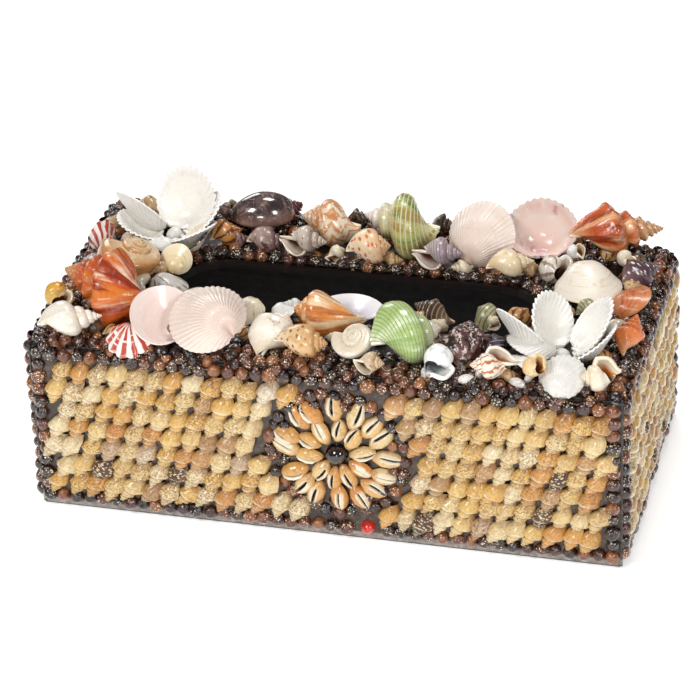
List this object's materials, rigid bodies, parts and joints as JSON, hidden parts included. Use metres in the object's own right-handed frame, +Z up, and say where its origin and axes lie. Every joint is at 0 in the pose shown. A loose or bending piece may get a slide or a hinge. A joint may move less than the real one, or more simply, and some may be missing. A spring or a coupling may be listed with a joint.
{
  "type": "tissue box cover",
  "caption": "Rectangular tissue-box cover, open below, with a round-ended slot, covered with small shells and a wreath of sea shells.",
  "frame": {"origin": "middle of the underside, on the surface it stands on", "axes": "+X along the length to the right as seen from the front, -Y out of the long front with the medallion, +Z up"},
  "size_m": [0.2802, 0.1436, 0.1201],
  "materials": {
    "board": "black stained thin board, satin",
    "bead": "dark brown, varnished",
    "golden_snail": "cream to gold, varnished",
    "petal_shell": "cream, varnished",
    "red_bead": "dark red, glossy",
    "white_cockle": "white, satin",
    "pink_cockle": "pale pink, glossy",
    "cream_shell": "cream, glossy",
    "orange_shell": "orange, glossy",
    "tan_shell": "tan, glossy",
    "green_shell": "green with pale stripes, glossy",
    "dark_shell": "plum brown, glossy",
    "grey_shell": "grey, satin",
    "striped_shell": "red and white stripes, satin"
  },
  "bodies": {
    "root": {"box_body": "board", "beads_back": "bead", "beads_front": "bead", "beads_left": "bead", "beads_right": "bead", "beads_slot": "bead", "beads_top_edge": "bead", "medallion_beads": "bead", "medallion_centre_bead": "bead", "snails_back": "golden_snail", "snails_front_left": "golden_snail", "snails_front_right": "golden_snail", "snails_left": "golden_snail", "snails_right": "golden_snail", "medallion_inner_shells": "petal_shell", "medallion_outer_shells": "petal_shell", "red_bead": "red_bead", "flower_back_left": "white_cockle", "flower_front_right": "white_cockle", "cockle_leaning_front": "white_cockle", "cockle_peach_back": "pink_cockle", "cockle_pink_front": "pink_cockle", "cockle_ribbed_back": "pink_cockle", "cockle_ribbed_front": "pink_cockle", "clam_cream_right": "cream_shell", "clam_lavender": "cream_shell", "clam_streaked": "cream_shell", "clam_translucent": "cream_shell", "cone_spotted": "cream_shell", "moon_snail_cream": "cream_shell", "periwinkle_orange_mouth": "cream_shell", "snail_cream_front": "cream_shell", "snail_cream_suture": "cream_shell", "snail_grey_mouth": "cream_shell", "snail_orange_striped": "cream_shell", "snail_small_front": "cream_shell", "snail_white_ring": "cream_shell", "whelk_white": "cream_shell", "clam_terracotta": "orange_shell", "conch_orange": "orange_shell", "whelk_orange_back": "orange_shell", "whelk_orange_large": "orange_shell", "whelk_orange_small": "orange_shell", "conch_speckled": "tan_shell", "moon_snail_tan": "tan_shell", "periwinkle_mustard": "tan_shell", "snail_amber": "tan_shell", "snail_net_patterned": "tan_shell", "snail_tan_mouth": "tan_shell", "whelk_zigzag": "tan_shell", "turban_green_back": "green_shell", "turban_green_front": "green_shell", "cowrie_purple": "dark_shell", "murex_purple": "dark_shell", "snail_dark_ribbed": "dark_shell", "snail_mottled": "dark_shell", "whelk_dotted": "grey_shell", "whelk_lilac": "grey_shell", "clam_fluted": "striped_shell", "scallop_striped": "striped_shell"}
  },
  "joints": []
}
